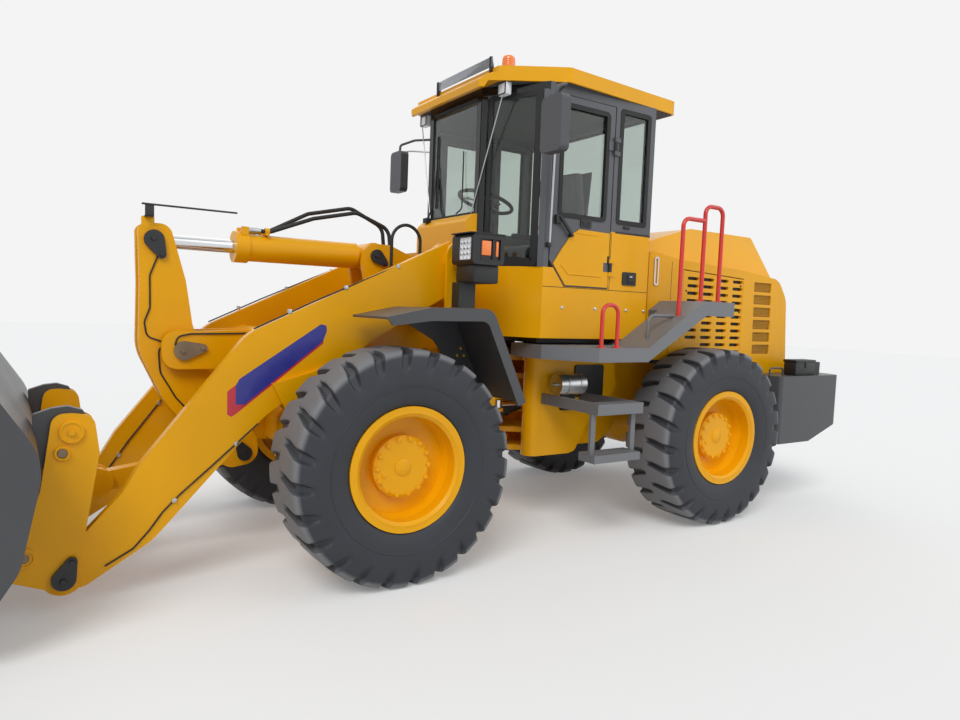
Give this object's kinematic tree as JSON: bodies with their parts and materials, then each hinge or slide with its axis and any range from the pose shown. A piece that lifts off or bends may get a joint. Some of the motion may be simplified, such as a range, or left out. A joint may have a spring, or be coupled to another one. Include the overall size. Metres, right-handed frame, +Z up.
{
  "type": "wheel loader",
  "caption": "Articulated wheel loader with front bucket on lift arms and Z-bar linkage, glazed cab, rear engine hood and counterweight.",
  "frame": {"origin": "Middle of the machine's length and width, on the ground.", "axes": "+X forward to the bucket, +Y to the machine's left, +Z up."},
  "size_m": [7.3174, 2.34, 3.3353],
  "materials": {
    "hose": "matt",
    "tyre": "moulded rubber",
    "paint_yellow": "gloss paint",
    "paint_grey": "satin paint",
    "paint_dark": "satin paint",
    "paint_red": "gloss paint",
    "cast_steel": "dull",
    "rod_chrome": "polished",
    "glass": "tinted",
    "lamp": "moulded",
    "mirror_shell": "moulded",
    "seat_cover": "woven",
    "alloy": "bare"
  },
  "bodies": {
    "rear_frame": {"rear_frame": "paint_yellow", "rear_axle": "paint_yellow", "rear_drive_shafts": "cast_steel", "counterweight": "paint_dark", "engine_block": "cast_steel", "hood": "paint_yellow", "service_panels": "paint_yellow", "cab_body": "paint_yellow", "cab_frame": "paint_grey", "cab_glass": "glass", "cab_roof": "paint_yellow", "roof_lamps": "lamp", "seat": "seat_cover", "steering_column": "lamp", "platforms": "paint_grey", "steps": "paint_grey", "handrails": "paint_red", "mirrors": "mirror_shell", "brake_reservoir": "alloy", "tail_lamps": "lamp"},
    "front_frame": {"front_frame": "paint_yellow", "tower_hose": "hose", "front_axle": "paint_yellow", "front_drive_shaft": "cast_steel", "front_fenders": "paint_dark", "headlights": "lamp"},
    "lift_arm": {"lift_arm": "paint_yellow"},
    "bellcrank": {"bellcrank": "paint_yellow"},
    "bucket_link": {"bucket_link": "paint_yellow"},
    "coupler": {"coupler": "paint_yellow", "bucket": "paint_dark"},
    "tilt_barrel": {"tilt_barrel": "paint_yellow", "tilt_hoses": "hose"},
    "tilt_rod": {"tilt_rod": "rod_chrome"},
    "rear_grille": {"rear_grille": "paint_dark"},
    "lift_barrel_left": {"lift_barrel_left": "paint_yellow"},
    "lift_rod_left": {"lift_rod_left": "rod_chrome"},
    "steer_barrel_left": {"steer_barrel_left": "paint_yellow"},
    "steer_rod_left": {"steer_rod_left": "rod_chrome"},
    "cab_door_left": {"cab_door_left": "paint_yellow", "door_glass_left": "glass"},
    "wheel_front_left": {"tyre_front_left": "tyre", "rim_front_left": "paint_yellow"},
    "wheel_rear_left": {"tyre_rear_left": "tyre", "rim_rear_left": "paint_yellow"},
    "lift_barrel_right": {"lift_barrel_right": "paint_yellow"},
    "lift_rod_right": {"lift_rod_right": "rod_chrome"},
    "steer_barrel_right": {"steer_barrel_right": "paint_yellow"},
    "steer_rod_right": {"steer_rod_right": "rod_chrome"},
    "cab_door_right": {"cab_door_right": "paint_yellow", "door_glass_right": "glass"},
    "wheel_front_right": {"tyre_front_right": "tyre", "rim_front_right": "paint_yellow"},
    "wheel_rear_right": {"tyre_rear_right": "tyre", "rim_rear_right": "paint_yellow"}
  },
  "joints": [
    {"name": "articulation", "type": "hinge", "parent": "rear_frame", "child": "front_frame", "pos_m": [-0.55873, 0, 0.87], "axis": [0, 0, 1], "range_deg": [-35, 35]},
    {"name": "lift", "type": "hinge", "parent": "front_frame", "child": "lift_arm", "pos_m": [0.20627, 0, 1.885], "axis": [0, -1, 0], "range_deg": [0, 76]},
    {"name": "bucket_tilt", "type": "hinge", "parent": "lift_arm", "child": "coupler", "pos_m": [2.42427, 0, 0.165], "axis": [0, 1, 0], "range_deg": [-25, 125]},
    {"name": "bellcrank_swing", "type": "hinge", "parent": "lift_arm", "child": "bellcrank", "pos_m": [1.79127, 0, 1.27], "axis": [0, -1, 0], "range_deg": [-7, 32]},
    {"name": "link_swing", "type": "hinge", "parent": "bellcrank", "child": "bucket_link", "pos_m": [1.41627, 0, 0.62], "axis": [0, 1, 0], "range_deg": [-9, 39]},
    {"name": "tilt_barrel_swing", "type": "hinge", "parent": "front_frame", "child": "tilt_barrel", "pos_m": [0.57127, 0, 1.907], "axis": [0, -1, 0], "range_deg": [0, 91]},
    {"name": "tilt_rod_slide", "type": "slide", "parent": "tilt_barrel", "child": "tilt_rod", "axis": [1, 0, -0.0015], "range_m": [-0.362, 0.074]},
    {"name": "lift_barrel_swing_left", "type": "hinge", "parent": "front_frame", "child": "lift_barrel_left", "pos_m": [0.20127, 0.53, 1.29], "axis": [0, -1, 0], "range_deg": [0, 68]},
    {"name": "lift_rod_slide_left", "type": "slide", "parent": "lift_barrel_left", "child": "lift_rod_left", "axis": [0.9598, 0, -0.2806], "range_m": [0, 0.702]},
    {"name": "steer_barrel_swing_left", "type": "hinge", "parent": "rear_frame", "child": "steer_barrel_left", "pos_m": [-1.11873, 0.25, 0.88], "axis": [0, 0, 1], "range_deg": [-7, 7]},
    {"name": "steer_rod_slide_left", "type": "slide", "parent": "steer_barrel_left", "child": "steer_rod_left", "axis": [0.9988, -0.0492, 0], "range_m": [-0.133, 0.133]},
    {"name": "cab_door_swing_left", "type": "hinge", "parent": "rear_frame", "child": "cab_door_left", "pos_m": [-0.93673, 0.792, 2.2], "axis": [0, 0, 1], "range_deg": [0, 85]},
    {"name": "lift_barrel_swing_right", "type": "hinge", "parent": "front_frame", "child": "lift_barrel_right", "pos_m": [0.20127, -0.53, 1.29], "axis": [0, -1, 0], "range_deg": [0, 68]},
    {"name": "lift_rod_slide_right", "type": "slide", "parent": "lift_barrel_right", "child": "lift_rod_right", "axis": [0.9598, 0, -0.2806], "range_m": [0, 0.702]},
    {"name": "steer_barrel_swing_right", "type": "hinge", "parent": "rear_frame", "child": "steer_barrel_right", "pos_m": [-1.11873, -0.25, 0.88], "axis": [0, 0, 1], "range_deg": [-7, 7]},
    {"name": "steer_rod_slide_right", "type": "slide", "parent": "steer_barrel_right", "child": "steer_rod_right", "axis": [0.9988, 0.0492, 0], "range_m": [-0.133, 0.133]},
    {"name": "cab_door_swing_right", "type": "hinge", "parent": "rear_frame", "child": "cab_door_right", "pos_m": [-0.93673, -0.792, 2.2], "axis": [0, 0, -1], "range_deg": [0, 85]},
    {"name": "rear_grille_swing", "type": "hinge", "parent": "rear_frame", "child": "rear_grille", "pos_m": [-3.25656, -0.441, 1.41], "axis": [0.0851, 0, 0.9964], "range_deg": [0, 100]},
    {"name": "wheel_front_left_spin", "type": "hinge", "parent": "front_frame", "child": "wheel_front_left", "pos_m": [0.79127, 0.925, 0.674], "axis": [0, 1, 0], "continuous": true},
    {"name": "wheel_front_right_spin", "type": "hinge", "parent": "front_frame", "child": "wheel_front_right", "pos_m": [0.79127, -0.925, 0.674], "axis": [0, 1, 0], "continuous": true},
    {"name": "wheel_rear_left_spin", "type": "hinge", "parent": "rear_frame", "child": "wheel_rear_left", "pos_m": [-1.90873, 0.925, 0.674], "axis": [0, 1, 0], "continuous": true},
    {"name": "wheel_rear_right_spin", "type": "hinge", "parent": "rear_frame", "child": "wheel_rear_right", "pos_m": [-1.90873, -0.925, 0.674], "axis": [0, 1, 0], "continuous": true}
  ],
  "couplings": [
    {"joint": "bellcrank_swing", "follows": "bucket_tilt", "ratio": 0.245},
    {"joint": "link_swing", "follows": "bucket_tilt", "ratio": 0.305},
    {"joint": "tilt_barrel_swing", "follows": "lift", "ratio": 1.1842},
    {"joint": "tilt_rod_slide", "follows": "bucket_tilt", "m_per_rad": -0.16501},
    {"joint": "lift_barrel_swing_left", "follows": "lift", "ratio": 0.88164},
    {"joint": "lift_rod_slide_left", "follows": "lift", "m_per_rad": 0.52787},
    {"joint": "steer_barrel_swing_left", "follows": "articulation", "ratio": 0.17806},
    {"joint": "steer_rod_slide_left", "follows": "articulation", "m_per_rad": -0.21463},
    {"joint": "lift_barrel_swing_right", "follows": "lift", "ratio": 0.88164},
    {"joint": "lift_rod_slide_right", "follows": "lift", "m_per_rad": 0.52787},
    {"joint": "steer_barrel_swing_right", "follows": "articulation", "ratio": 0.17806},
    {"joint": "steer_rod_slide_right", "follows": "articulation", "m_per_rad": 0.21463}
  ]
}
